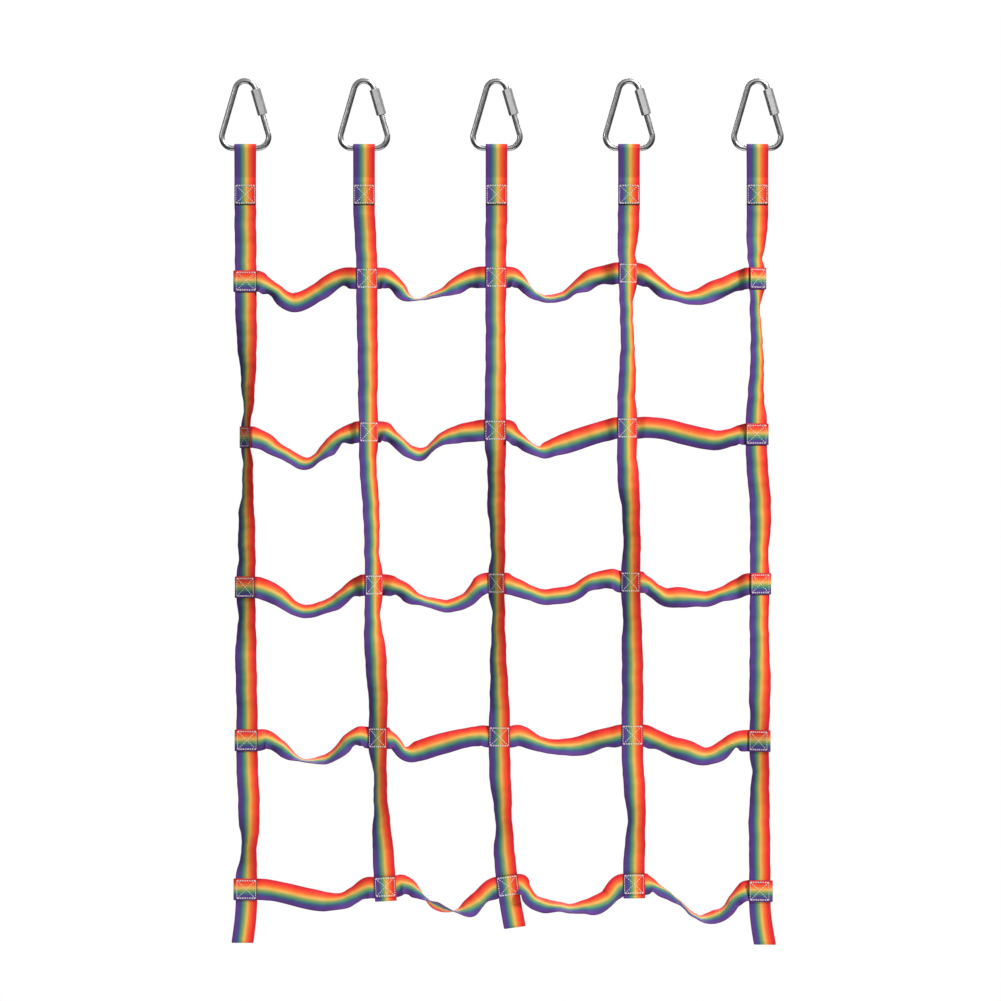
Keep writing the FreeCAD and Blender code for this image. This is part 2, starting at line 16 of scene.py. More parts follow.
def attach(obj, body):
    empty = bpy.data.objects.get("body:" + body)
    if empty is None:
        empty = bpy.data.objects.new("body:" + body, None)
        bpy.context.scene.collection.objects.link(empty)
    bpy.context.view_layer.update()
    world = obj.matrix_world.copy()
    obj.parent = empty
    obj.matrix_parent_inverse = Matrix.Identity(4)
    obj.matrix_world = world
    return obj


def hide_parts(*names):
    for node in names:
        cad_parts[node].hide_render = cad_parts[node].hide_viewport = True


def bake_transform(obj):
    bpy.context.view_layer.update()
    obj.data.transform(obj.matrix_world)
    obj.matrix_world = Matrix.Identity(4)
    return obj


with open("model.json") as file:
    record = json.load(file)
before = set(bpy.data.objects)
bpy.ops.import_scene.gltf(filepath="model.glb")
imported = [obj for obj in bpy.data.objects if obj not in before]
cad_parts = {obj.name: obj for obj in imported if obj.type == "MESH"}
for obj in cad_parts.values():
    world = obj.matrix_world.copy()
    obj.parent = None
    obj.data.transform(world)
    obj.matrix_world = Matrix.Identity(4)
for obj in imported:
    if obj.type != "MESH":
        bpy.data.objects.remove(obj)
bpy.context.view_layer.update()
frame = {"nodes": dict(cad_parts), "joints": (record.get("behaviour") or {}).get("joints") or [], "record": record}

MM = 0.001
COLUMNS = (1, 2, 3, 4, 5)
ROWS = (1, 2, 3, 4, 5)
BAYS = (1, 2, 3, 4)
GAPS = (1, 2, 3, 4)
OUTER_COLUMNS = (1, 5)
TIE_DOWN_COLUMNS = (1, 3, 5)
LAST_ROW = ROWS[-1]

WIDTH = 38.0
THICKNESS = 1.8
LAYER = 2.0
STEP = 2.0
ARC_STEP = 0.8

# Half the length of the flat stretch on a crossing, and how far above its centre one piece of a
# vertical strap hands over to the next, under the seam's top line.
FLAT_HALF = 18.0
SPLIT = 16.5
# Distance from a crossing's centre, in mm, at which a gap piece computes two places that nothing then uses.
BLEND_START = 25.0

LOOP_JOIN_DROP = 59.0
LOOP_END_DROP = 98.0
LOOP_SEAM_DROP = 81.0
LOOP_RADIUS = 6.6
EYE_RADIUS = 5.0
OUTER_TAIL = 94.0
MIDDLE_TAIL = 74.0
TURN_UP_DROP = 22.0
FLAP_TOP = 19.0
WRAP_LENGTH = 38.0

SEAM_WIDTH = 33.0
SEAM_HEIGHT = 32.0
STITCH_PITCH = 4.0
STITCH_LENGTH = 3.0
THREAD_RADIUS = 0.48

# How far each crossing is turned about its vertical strap, in degrees, for rows 1 to 5. A
# positive turn takes the right edge back.
CROSSING_TURN = {
    1: (6, -63, -28, -6, -4),
    2: (12, 30, 36, -30, 0),
    3: (14, -4, -42, -10, -3),
    4: (32, 22, -28, 2, -4),
    5: (42, 8, 24, -28, -10),
}

# Twist of each vertical strap in the four gaps between rows, as (percent of the way down, twist
# in degrees). A positive twist takes the right edge back.
VERTICAL_TWIST = {
    1: (((16, -2), (39, -16), (50, -26), (62, -38), (75, -48), (86, -62)),
        ((14, -57), (30, -51), (41, -47), (50, -34), (65, -28), (81, -28)),
        ((14, -27), (22, -27), (44, -5), (75, -10)),
        ((23, 5), (55, -10), (71, -36), (87, -18))),
    2: (((18, 10), (42, 16), (65, 18), (88, 26)),
        ((20, 31), (43, 32), (82, 41)),
        ((16, 38), (24, 34), (50, -5), (76, -20)),
        ((13, -36), (24, -44), (46, -40), (56, -28), (73, -12), (89, 0))),
    3: (((19, 16), (42, 18), (65, 12), (88, 8)),
        ((21, -25), (52, -27), (66, -38), (84, -42)),
        ((12, -44), (23, -47), (46, -34), (77, -20)),
        ((25, -5), (57, -32), (73, -14))),
    4: (((12, 40), (21, 45), (45, 43), (68, 28), (83, 26)),
        ((22, 15), (53, -25), (84, -28)),
        ((13, -26), (23, -25), (46, -10), (77, -8)),
        ((25, 5), (58, -27), (74, -14))),
    5: (((10, 50), (18, 55), (35, 50), (64, 38), (79, 28)),
        ((20, 0), (50, 5), (83, 24)),
        ((14, 20), (45, 16), (75, -10)),
        ((12, -28), (22, -30), (54, -10), (86, -10))),
}

# How far each vertical strap's middle strays to the right between two rows, in mm.
VERTICAL_SWAY = {
    1: (1.0, -1.5, -1.0, 4.0),
    2: (1.0, 2.5, 0.0, -1.5),
    3: (1.0, -1.5, -2.0, 2.0),
    4: (3.5, 1.0, 1.0, 4.0),
    5: (4.5, 4.5, 1.5, -0.8),
}

# The slack of each horizontal strap between two crossings, as (share of the bay in percent,
# drop below the straight line in mm, roll in degrees). Roll 0 shows the face to the front, and a
# positive roll leans the upper edge back. Rows 1 to 5, each with bays 1 to 4.
BAY_ROUTE = {
    1: (
        ((15, 5, 35), (25, 17, 50), (33, 31, 40), (40, 38, 20), (48, 34, 25), (58, 22, 28),
         (68, 9, 20), (80, -1, 5)),
        ((15, 0, 25), (25, 14, 62), (33, 33, 80), (40, 38, 86), (50, 32, 74), (60, 23, 66),
         (72, 9, 40), (83, 1, 12)),
        ((15, 1, 35), (25, 17, 78), (32, 32, 80), (40, 40, 68), (50, 37, 64), (60, 22, 56),
         (72, 8, 15), (83, 3, 0)),
        ((15, 6, 35), (25, 19, 52), (35, 33, 60), (45, 38, 55), (56, 35, 38), (67, 24, 18),
         (77, 16, 8), (86, 5, 15)),
    ),
    2: (
        ((15, 7, 30), (25, 22, 54), (37, 38, 57), (48, 50, 55), (58, 42, 66), (66, 24, 56),
         (75, 9, 45), (85, 2, 20)),
        ((15, 0, 40), (25, 16, 64), (33, 33, 58), (40, 39, 50), (48, 31, 68), (58, 13, 54),
         (70, 4, 36), (83, 1, 15)),
        ((15, 9, 50), (25, 24, 78), (32, 34, 75), (37, 35, 45), (45, 30, 32), (57, 22, 8),
         (70, 13, 0), (84, 4, 0)),
        ((15, -3, 5), (30, -1, 0), (45, 6, 0), (60, 12, 0), (70, 13, 20), (80, 6, 40),
         (87, 1, 30)),
    ),
    3: (
        ((15, 5, 5), (25, 15, 28), (35, 33, 48), (45, 43, 52), (57, 40, 52), (67, 29, 54),
         (77, 14, 50), (86, 3, 22)),
        ((15, 2, 28), (25, 10, 48), (35, 23, 66), (47, 32, 62), (58, 38, 56), (68, 33, 57),
         (77, 22, 62), (86, 4, 45)),
        ((15, 6, 32), (25, 15, 52), (35, 23, 46), (47, 22, 40), (58, 16, 42), (67, 1, 52),
         (76, -6, 40), (86, -7, 20)),
        ((14, 3, 45), (20, 14, 50), (28, 25, 25), (38, 25, 15), (50, 26, 40), (61, 26, 45),
         (71, 17, 52), (82, 8, 22)),
    ),
    4: (
        ((15, -3, 40), (25, 8, 66), (35, 26, 80), (42, 36, 86), (50, 38, 80), (60, 35, 66),
         (69, 21, 70), (77, 2, 60), (86, -5, 30)),
        ((14, 3, 55), (21, 20, 75), (26, 25, 50), (33, 24, 8), (45, 16, 0), (58, 8, 10),
         (70, 1, 28), (85, -3, 20)),
        ((15, -2, 10), (27, 8, 48), (37, 16, 50), (50, 19, 40), (62, 16, 22), (74, 9, 0),
         (86, 3, 0)),
        ((15, 4, 12), (30, 17, 0), (43, 22, 12), (54, 30, 30), (63, 27, 42), (73, 14, 38),
         (84, 3, 5)),
    ),
    5: (
        ((15, 2, 0), (30, 10, 0), (45, 19, 3), (57, 23, 28), (67, 22, 50), (77, 12, 42),
         (87, 1, 10)),
        ((14, -6, 35), (23, 0, 68), (29, 9, 90), (36, 25, 108), (43, 35, 115), (52, 41, 102),
         (60, 43, 80), (67, 38, 45), (77, 26, 10)),
        ((14, 7, 60), (20, 22, 70), (30, 33, 62), (42, 38, 68), (50, 40, 68), (60, 38, 55),
         (70, 34, 36), (80, 24, 22)),
        ((14, -1, 50), (20, 3, 76), (28, 11, 86), (36, 26, 86), (44, 43, 80), (52, 53, 80),
         (58, 53, 64), (65, 48, 58), (72, 36, 72), (79, 16, 66), (87, 4, 32)),
    ),
}

# How far each bay bulges to the back at its middle, in mm. Rows 1 to 5, bays 1 to 4.
BAY_BULGE = {
    1: (7, -5, 6, -8),
    2: (-6, 8, -5, 6),
    3: (8, -7, 5, 7),
    4: (-5, 6, 7, -6),
    5: (6, -4, -7, 5),
}

# How far a horizontal strap's lower half is bent under beside its crossings, in degrees, at the
# left and the right of each bay. Rows 1 to 5, bays 1 to 4.
BAY_CURL = {
    1: ((100, 60), (95, 62), (95, 50), (85, 48)),
    2: ((15, 100), (95, 25), (95, 12), (10, 48)),
    3: ((12, 92), (85, 60), (22, 48), (78, 22)),
    4: ((88, 92), (82, 28), (34, 34), (45, 80)),
    5: ((15, 72), (80, 62), (60, 62), (62, 74)),
}

# How far the lowest piece of each vertical strap leans to the right going down, in degrees.
BOTTOM_LEAN = {1: 0.0, 2: 3.0, 3: 8.0, 4: 1.0, 5: 0.0}

# How far the end of each tie-down tail hangs to the right of its crossing's own axis, in mm.
TAIL_DRIFT = {1: -7.0, 2: 0.0, 3: 2.0, 4: 0.0, 5: 9.0}

# Webbing colours across the strap, from its violet edge to its red one, as (share, sRGB).
STRIPES = (
    (0.00, (92, 40, 108)),
    (0.06, (86, 46, 124)),
    (0.16, (84, 52, 134)),
    (0.21, (66, 62, 128)),
    (0.27, (56, 86, 120)),
    (0.32, (62, 114, 117)),
    (0.37, (84, 139, 104)),
    (0.42, (112, 151, 88)),
    (0.475, (160, 163, 82)),
    (0.53, (216, 177, 92)),
    (0.58, (242, 170, 80)),
    (0.63, (244, 143, 60)),
    (0.69, (243, 110, 44)),
    (0.75, (243, 84, 38)),
    (0.82, (240, 56, 38)),
    (0.88, (228, 36, 38)),
    (0.95, (204, 24, 38)),
    (1.00, (186, 20, 42)),
)
YARNS_ACROSS = 36


# ---- places that the frame gives ---------------------------------------------------------------

def mount_place(name):
    """A mount's place, in mm."""
    mounts = frame["record"]["mounts"]
    return Vector(next(m["pos_m"] for m in mounts if m["name"] == name)) / MM


def seam_centres(node):
    """Centre of the seams that a stitching node has on each column, in mm, at depth 0."""
    points = [vertex.co / MM for vertex in frame["nodes"][node].data.vertices]
    half_pitch = LOOP_X[COLUMNS[-1]] / 4
    centres = {}
    for column in COLUMNS:
        near = [p for p in points if abs(p.x - LOOP_X[column]) < half_pitch]
        x = (min(p.x for p in near) + max(p.x for p in near)) / 2
        z = (min(p.z for p in near) + max(p.z for p in near)) / 2
        centres[column] = Vector((x, 0, z))
    return centres


LOOP_X = {column: mount_place(f"hang_point_{column}").x for column in COLUMNS}
CENTRE = {row: seam_centres(f"row_{row}_stitching") for row in ROWS}
BAR_Z = next(j for j in frame["joints"] if j["name"] == "net_swing")["pos_m"][2] / MM


def lean_of(row, column):
    """How far a crossing leans, in radians."""
    return math.radians(BOTTOM_LEAN[column]) if row == LAST_ROW else 0.0


def turn_of(row, column):
    """How far a crossing is turned about its vertical strap, in degrees."""
    return CROSSING_TURN[column][row - 1]


def strap_turn(twist, lean):
    """Rotation of a vertical strap's section, from a twist in degrees and a lean in radians."""
    return Matrix.Rotation(math.radians(twist), 3, "Z") @ Matrix.Rotation(-lean, 3, "Y")


def crossing_turn(row, column):
    """Rotation of everything that is sewn at a crossing."""
    return strap_turn(turn_of(row, column), lean_of(row, column))


def on_crossing(row, column, x, y, z):
    """A place given from a crossing's centre along its own axes."""
    return CENTRE[row][column] + crossing_turn(row, column) @ Vector((x, y, z))


def vertical_depth(row, column):
    """Depth of the vertical strap's middle at a crossing."""
    return LAYER if row == LAST_ROW and column not in OUTER_COLUMNS else 0.0


def horizontal_depth(row, column):
    """Depth of the horizontal strap's middle at a crossing."""
    if row < LAST_ROW:
        return LAYER
    return 2 * LAYER if column in OUTER_COLUMNS else 0.0


# ---- curves ------------------------------------------------------------------------------------

def smoothstep(share):
    """Share from 0 to 1, eased at both ends."""
    share = min(max(share, 0.0), 1.0)
    return share * share * (3 - 2 * share)


def hermite(start, end, start_slope, end_slope, span, share):
    """Cubic from start to end, a span apart, with the slopes given."""
    s2, s3 = share ** 2, share ** 3
    return (start * (2 * s3 - 3 * s2 + 1) + start_slope * (span * (s3 - 2 * s2 + share))
            + end * (3 * s2 - 2 * s3) + end_slope * (span * (s3 - s2)))


def through(knots, at, end_slopes=None):
    """Value at a distance on the smooth line through the knots, which are (distance, value)."""
    last = len(knots) - 1
    at = min(max(at, knots[0][0]), knots[-1][0])
    upper = next((i for i in range(1, last) if knots[i][0] >= at), last)

    def slope(index):
        if end_slopes and index in (0, last):
            return end_slopes[0 if index == 0 else 1]
        before, after = knots[max(index - 1, 0)], knots[min(index + 1, last)]
        return (after[1] - before[1]) / (after[0] - before[0])

    (start_at, start), (end_at, end) = knots[upper - 1], knots[upper]
    span = end_at - start_at
    return hermite(start, end, slope(upper - 1), slope(upper), span, (at - start_at) / span)


def ripple(seed, distance):
    """Small waves of slack webbing, in mm, the same for the same seed."""
    waves = ((61.0, 0.5), (34.0, 0.3), (19.0, 0.16))
    return sum(height * math.sin(2 * math.pi * distance / length + seed * (2.1 + 1.7 * number))
               for number, (length, height) in enumerate(waves))


def steps(length, step=STEP):
    """Even shares from 0 to 1 that cut a length into steps, without the last one."""
    count = max(int(math.ceil(length / step)), 1)
    return [number / count for number in range(count)]


def round_eye(start, end, centre, radius):
    """Places (y, z) from start to a circle, round its far side and back to end."""
    side = 1 if (start - end).cross(centre - end) < 0 else -1
    touches = []
    for place, turn in ((start, side), (end, -side)):
        away = place - centre
        touches.append(math.atan2(away.y, away.x) + turn * math.acos(radius / away.length))
    sweep = (touches[1] - touches[0]) * side % (2 * math.pi) * side
    rim = [centre + radius * Vector((math.cos(touches[0] + sweep * share),
                                     math.sin(touches[0] + sweep * share)))
           for share in steps(abs(sweep) * radius, ARC_STEP) + [1.0]]
    places = [start.lerp(rim[0], share) for share in steps((rim[0] - start).length)]
    places += rim
    places += [rim[-1].lerp(end, share) for share in steps((end - rim[-1]).length)[1:]]
    return places + [end]


# ---- webbing -----------------------------------------------------------------------------------

Station = namedtuple("Station", "place across cups crease lift",
                     defaults=((0.0, 0.0), 0.0, 0.0))

# Insets from the strap's edge, and the share of its thickness that it has there.
SELVEDGE = ((0.25, 0.5), (0.7, 0.84), (1.5, 1.0))
ACROSS_PARTS = 16
# How far from the middle a lengthwise crease spreads, as a share of half the width.
CREASE_SHARE = 0.45
# How far a heat cut reaches in from a raw end, with its darkening partly painted shade for the raw edge's shadow.
MELT_LENGTH = 2.2


def webbing_outline():
    """Closed section of the webbing as (across, out), from its left edge over the front."""
    half = WIDTH / 2
    reach = half - SELVEDGE[-1][0]
    front = [(inset - half, THICKNESS / 2 * share) for inset, share in SELVEDGE]
    front += [(reach * (2 * part / ACROSS_PARTS - 1), THICKNESS / 2)
              for part in range(1, ACROSS_PARTS)]
    front += [(-across, out) for across, out in reversed(front[:len(SELVEDGE)])]
    back = [(across, -out) for across, out in reversed(front)]
    return [(-half, 0.0)] + front + [(half, 0.0)] + back


OUTLINE = webbing_outline()
FRONT_POINTS = (len(OUTLINE) - 2) // 2


def curled_half(cup, crease):
    """Middle line of half a section as (across, depth) at even shares of its width.

    It curls back evenly by the angle cup and bends by the angle crease near the middle.
    """
    parts = 2 * ACROSS_PARTS
    line, angles = [(0.0, 0.0)], []
    for part in range(parts + 1):
        share = part / parts
        angles.append(cup * share + crease * smoothstep(share / CREASE_SHARE))
    for before, after in zip(angles, angles[1:]):
        angle, (across, depth) = (before + after) / 2, line[-1]
        length = WIDTH / 2 / parts
        line.append((across + length * math.cos(angle), depth + length * math.sin(angle)))
    return line, angles


def curled(across, out, half):
    """An outline point's place (across, out) once its half of the section is curled."""
    line, angles = half
    at = abs(across) / (WIDTH / 2) * (len(line) - 1)
    lower = min(int(at), len(line) - 2)
    side, depth = (a + (b - a) * (at - lower) for a, b in zip(line[lower], line[lower + 1]))
    angle = angles[lower] + (angles[lower + 1] - angles[lower]) * (at - lower)
    return (math.copysign(side + out * math.sin(angle), across),
            out * math.cos(angle) - depth)


def ribbon(name, stations, raw_ends=(False, False)):
    """Closed ribbon of webbing through the stations, with its UVs in strap widths.

    Returns the piece and the length of its middle line in mm.
    """
    ring = len(OUTLINE)
    last = len(stations) - 1
    verts, uvs, distances = [], [], []
    distance = 0.0
    for index, station in enumerate(stations):
        before, after = stations[max(index - 1, 0)], stations[min(index + 1, last)]
        distance += (station.place - before.place).length
        distances.append(distance)
        tangent = (after.place - before.place).normalized()
        normal = tangent.cross(station.across).normalized()
        halves = (curled_half(station.cups[0], station.crease), curled_half(station.cups[1], 0))
        for across, out in OUTLINE:
            side, front = curled(across, out, halves[across > 0])
            verts.append((station.place + station.across * side
                          + normal * (front + station.lift)) * MM)
            uvs.append((across / WIDTH + 0.5, distance / WIDTH))
    faces = [(row + point, row + ring + point, row + ring + (point + 1) % ring,
              row + (point + 1) % ring)
             for row in range(0, last * ring, ring) for point in range(ring)]
    walls = len(faces)
    for row, flipped in ((0, False), (last * ring, True)):
        for point in range(FRONT_POINTS + 1):
            cap = [row + point, row + point + 1, row + (ring - point - 1) % ring,
                   row + (ring - point) % ring]
            cap = list(dict.fromkeys(cap))
            faces.append(tuple(reversed(cap)) if flipped else tuple(cap))
    mesh = bpy.data.meshes.new(name)
    mesh.from_pydata(verts, [], faces)
    mesh.polygons.foreach_set("use_smooth", [number < walls for number in range(len(faces))])
    layer = mesh.uv_layers.new(name="UVMap")
    layer.data.foreach_set("uv", [value for loop in mesh.loops for value in uvs[loop.vertex_index]])
    # This mask also carries painted shade for the shadow that each raw edge casts.
    melt_and_edge_shadow = mesh.attributes.new("melt_and_edge_shadow", "FLOAT", "POINT")
    melt_and_edge_shadow.data.foreach_set("value", [melt_and_edge_shadow_share(along, distances[-1], raw_ends)
                                    for along in distances for _ in range(ring)])
    mesh.materials.append(WEBBING)
    piece = bpy.data.objects.new(name, mesh)
    bpy.context.scene.collection.objects.link(piece)
    return piece, distance


def melt_and_edge_shadow_share(along, length, raw_ends):
    """How far the heat cut and the painted shade of the raw edge's shadow show at a distance along a strap: 1 on a
    raw end, 0 away from it.
    """
    distances = [away for away, raw in zip((along, length - along), raw_ends) if raw]
    return max([1.0 - away / MELT_LENGTH for away in distances] + [0.0])


# ---- vertical straps ---------------------------------------------------------------------------

# Cup of a slack strap, in radians, and how much more it has for each radian of twist.
BASE_CUP = 0.12
CUP_PER_TWIST = 0.3
# Curl of the edge that a twist leans back, in radians, the degrees of twist at which it is full
# and the share of it that comes and goes along the strap.
EDGE_CURL = 0.42
CURL_TWIST = 30.0
CURL_RIPPLE = 0.15
# How far a slack strap wanders sideways, as a share of its ripple.
EDGE_WANDER = 0.7
# Share of a slack stretch over which its slack starts and ends.
EDGE_WINDOW = 0.16
# Share of the first crossing's turn that a strap has halfway down to it from its top loop.
TOP_TWIST_SHARE = 0.35
# Steps between the seeds of columns, gaps and rows, and of a strap's curl and wander.
COLUMN_SEED = 1.3
GAP_SEED = 2.9
ROW_SEED = 3.7
CURL_SEED = 2
WANDER_SEED = 5


def slack_window(share):
    """0 at the ends of a slack stretch and 1 away from them."""
    return smoothstep(share / EDGE_WINDOW) * smoothstep((1 - share) / EDGE_WINDOW)


def slack_stations(column, gap, seed):
    """Stations of a vertical strap from the row above a gap to the row below it.

    Gap 0 is the stretch from the top loop's seam down to the first row.
    """
    lean = lean_of(gap + 1, column)
    end = on_crossing(gap + 1, column, 0, vertical_depth(gap + 1, column), FLAT_HALF)
    end_turn = turn_of(gap + 1, column)
    end_slope = crossing_turn(gap + 1, column) @ Vector((0, 0, -1))
    if gap:
        start = on_crossing(gap, column, 0, vertical_depth(gap, column), -FLAT_HALF)
        start_turn = turn_of(gap, column)
        pitch = CENTRE[gap][column].z - CENTRE[gap + 1][column].z
        twists = [((pitch * percent / 100 - FLAT_HALF) / (pitch - 2 * FLAT_HALF), twist)
                  for percent, twist in VERTICAL_TWIST[column][gap - 1]]
        sway = VERTICAL_SWAY[column][gap - 1]
    else:
        start = Vector((LOOP_X[column], 0, BAR_Z - LOOP_END_DROP))
        start_turn, twists, sway = 0.0, [(0.5, end_turn * TOP_TWIST_SHARE)], 0.0
    span = (end - start).length
    knots = [(0.0, start_turn)] + twists + [(1.0, end_turn)]
    stations = []
    for share in steps(span) + [1.0]:
        place = hermite(start, end, Vector((0, 0, -1)), end_slope, span, share)
        place.x += sway * math.sin(math.pi * share) ** 2
        twist = through(knots, share, (0.0, 0.0))
        turn = strap_turn(twist, lean * smoothstep(share))
        window = slack_window(share)
        cup = (BASE_CUP + math.radians(abs(twist)) * CUP_PER_TWIST) * window
        curl = EDGE_CURL * window * (1 + CURL_RIPPLE * ripple(seed + CURL_SEED, share * span))
        cups = tuple(cup + curl * smoothstep(side * twist / CURL_TWIST) for side in (-1, 1))
        place.x += EDGE_WANDER * ripple(seed + WANDER_SEED, share * span) * window
        stations.append(Station(place, turn @ Vector((1, 0, 0)), cups, 0.0,
                                ripple(seed, share * span) * window))
    return stations


def flat_stations(row, column, start_z, end_z):
    """Stations of a vertical strap where it is sewn flat, from one height to another."""
    depth = vertical_depth(row, column)
    across = crossing_turn(row, column) @ Vector((1, 0, 0))
    heights = [start_z + (end_z - start_z) * share for share in steps(abs(end_z - start_z))]
    return [Station(on_crossing(row, column, 0, depth, z), across) for z in heights]


def top_piece(column):
    """Webbing from the raw end in front, round the link's bar and down to the first row."""
    x = LOOP_X[column]
    join_z, end_z = BAR_Z - LOOP_JOIN_DROP, BAR_Z - LOOP_END_DROP
    rounds = round_eye(Vector((-LAYER, join_z)), Vector((0, join_z)), Vector((0, BAR_Z)),
                       LOOP_RADIUS)
    flat = steps(join_z - end_z)
    route = [Vector((-LAYER, end_z + (join_z - end_z) * share)) for share in flat]
    route += rounds
    route += [Vector((0, join_z + (end_z - join_z) * share)) for share in flat[1:]]
    stations = [Station(Vector((x, y, z)), Vector((1, 0, 0))) for y, z in route]
    stations += slack_stations(column, 0, column * COLUMN_SEED)
    stations += flat_stations(1, column, FLAT_HALF, SPLIT)[1:]
    stations.append(Station(on_crossing(1, column, 0, 0, SPLIT), stations[-1].across))
    piece, length = ribbon(f"webbing_column_{column}_top", stations, (True, False))
    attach(piece, "row_1")
    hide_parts(f"vertical_strap_{column}_row_1")


def gap_piece(column, gap):
    """Webbing from one row's seam to the next."""
    below = gap + 1
    stations = flat_stations(gap, column, SPLIT, -FLAT_HALF)
    stations += slack_stations(column, gap, column * COLUMN_SEED + gap * GAP_SEED)
    stations += flat_stations(below, column, FLAT_HALF, SPLIT)[1:]
    depth = vertical_depth(below, column)
    stations.append(Station(on_crossing(below, column, 0, depth, SPLIT), stations[-1].across))
    piece, length = ribbon(f"webbing_column_{column}_gap_{gap}", stations)
    start = CENTRE[gap][column] - Vector((0, 0, BLEND_START))
    end = CENTRE[below][column] + Vector((0, 0, BLEND_START))
    end.x = start.x
    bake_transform(piece)
    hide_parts(f"vertical_strap_{column}_row_{gap}", f"vertical_strap_{column}_row_{below}")


def tail_drift(column, z, lowest):
    """How far a tail has drifted to the right at a height below its crossing."""
    return TAIL_DRIFT[column] * smoothstep(0.5 * (z + FLAT_HALF) / (lowest + FLAT_HALF)) * 2


def bottom_piece(column):
    """Webbing through the lowest row, with its tie-down loop or its turned-up end."""
    main = vertical_depth(LAST_ROW, column)
    flap = LAYER if column in OUTER_COLUMNS else -LAYER
    middle = (main + flap) / 2
    if column in TIE_DOWN_COLUMNS:
        tail = OUTER_TAIL if column in OUTER_COLUMNS else MIDDLE_TAIL
        centre, radius = Vector((middle, EYE_RADIUS + THICKNESS / 2 - tail)), EYE_RADIUS
    else:
        centre, radius = Vector((middle, -TURN_UP_DROP)), abs(main - flap) / 2
    join = -FLAT_HALF
    route = [Vector((main, z)) for z in (SPLIT - (SPLIT - join) * s for s in steps(SPLIT - join))]
    route += round_eye(Vector((main, join)), Vector((flap, join)), centre, radius)
    rise = FLAP_TOP - join
    route += [Vector((flap, join + rise * share)) for share in steps(rise)[1:] + [1.0]]
    across = crossing_turn(LAST_ROW, column) @ Vector((1, 0, 0))
    lowest = min(z for _, z in route)
    stations = [Station(on_crossing(LAST_ROW, column, tail_drift(column, z, lowest), y, z), across)
                for y, z in route]
    piece, length = ribbon(f"webbing_column_{column}_bottom", stations, (False, True))
    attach(piece, f"row_{LAST_ROW}")
    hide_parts(f"vertical_strap_{column}_row_{LAST_ROW}")


# ---- horizontal straps -------------------------------------------------------------------------

# Cup of a slack horizontal strap that shows its face, in radians.
BAY_CUP = 0.3
# Shares of a bay at which the curl beside a crossing starts, is full and ends.
CURL_SHARES = (0.05, 0.16, 0.42)
# How many times the direction across a strap is averaged with its neighbours.
TILT_PASSES = 110


def wrap_places(row, column):
    """Route of a horizontal strap's end: from its raw end in front round the vertical's edge."""
    outward = -1 if column == COLUMNS[0] else 1
    depth = horizontal_depth(row, column)
    edge = outward * WIDTH / 2
    inner = edge - outward * WRAP_LENGTH
    middle, radius = (depth - LAYER) / 2, (depth + LAYER) / 2
    route = [(inner + (edge - inner) * share, -LAYER) for share in steps(WRAP_LENGTH)]
    route += [(edge + outward * radius * math.sin(math.pi * share),
               middle - radius * math.cos(math.pi * share))
              for share in steps(math.pi * radius, ARC_STEP)]
    back_end = -outward * FLAT_HALF
    route += [(edge + (back_end - edge) * share, depth)
              for share in steps(abs(edge - back_end)) + [1.0]]
    return [on_crossing(row, column, x, y, 0) for x, y in route]


def bay_knots(row, bay):
    """Knots of one bay, from the flat end on its left crossing to the one on its right."""
    left = CENTRE[row][bay] + Vector((0, horizontal_depth(row, bay), 0))
    right = CENTRE[row][bay + 1] + Vector((0, horizontal_depth(row, bay + 1), 0))
    knots = [(on_crossing(row, bay, FLAT_HALF, horizontal_depth(row, bay), 0), 0.0)]
    for percent, drop, roll in BAY_ROUTE[row][bay - 1]:
        share = percent / 100
        bulge = BAY_BULGE[row][bay - 1] * math.sin(math.pi * share) ** 2
        knots.append((left.lerp(right, share) + Vector((0, bulge, -drop)), roll))
    knots.append((on_crossing(row, bay + 1, -FLAT_HALF, horizontal_depth(row, bay + 1), 0), 0.0))
    return knots


def curl_under(row, bay, share):
    """How far the lower half of a strap curls under at a share of a bay, in radians."""
    start, full, end = CURL_SHARES
    left, right = (smoothstep((s - start) / (full - start)) * smoothstep((end - s) / (end - full))
                   for s in (share, 1 - share))
    left_curl, right_curl = BAY_CURL[row][bay - 1]
    return math.radians(left_curl * left + right_curl * right)


Sample = namedtuple("Sample", "place roll window curl", defaults=(0.0, 0.0, 0.0))


def bay_samples(row, bay):
    """Samples along one bay, without its two ends."""
    knots = bay_knots(row, bay)
    distances = [0.0]
    for (before, _), (after, _) in zip(knots, knots[1:]):
        distances.append(distances[-1] + (after - before).length)
    places = [(d, place) for d, (place, _) in zip(distances, knots)]
    rolls = [(d, roll) for d, (_, roll) in zip(distances, knots)]
    slopes = [crossing_turn(row, column) @ Vector((1, 0, 0)) for column in (bay, bay + 1)]
    return [Sample(through(places, distances[-1] * share, slopes),
                   through(rolls, distances[-1] * share, (0.0, 0.0)),
                   slack_window(share), curl_under(row, bay, share))
            for share in steps(distances[-1])[1:]]


def horizontal_samples(row):
    """Samples along a whole horizontal strap."""
    samples = [Sample(place) for place in wrap_places(row, COLUMNS[0])]
    for bay in BAYS:
        samples += bay_samples(row, bay)
        if bay < BAYS[-1]:
            depth = horizontal_depth(row, bay + 1)
            samples += [Sample(on_crossing(row, bay + 1, FLAT_HALF * (2 * share - 1), depth, 0))
                        for share in steps(2 * FLAT_HALF) + [1.0]]
    return samples + [Sample(place) for place in reversed(wrap_places(row, COLUMNS[-1]))]


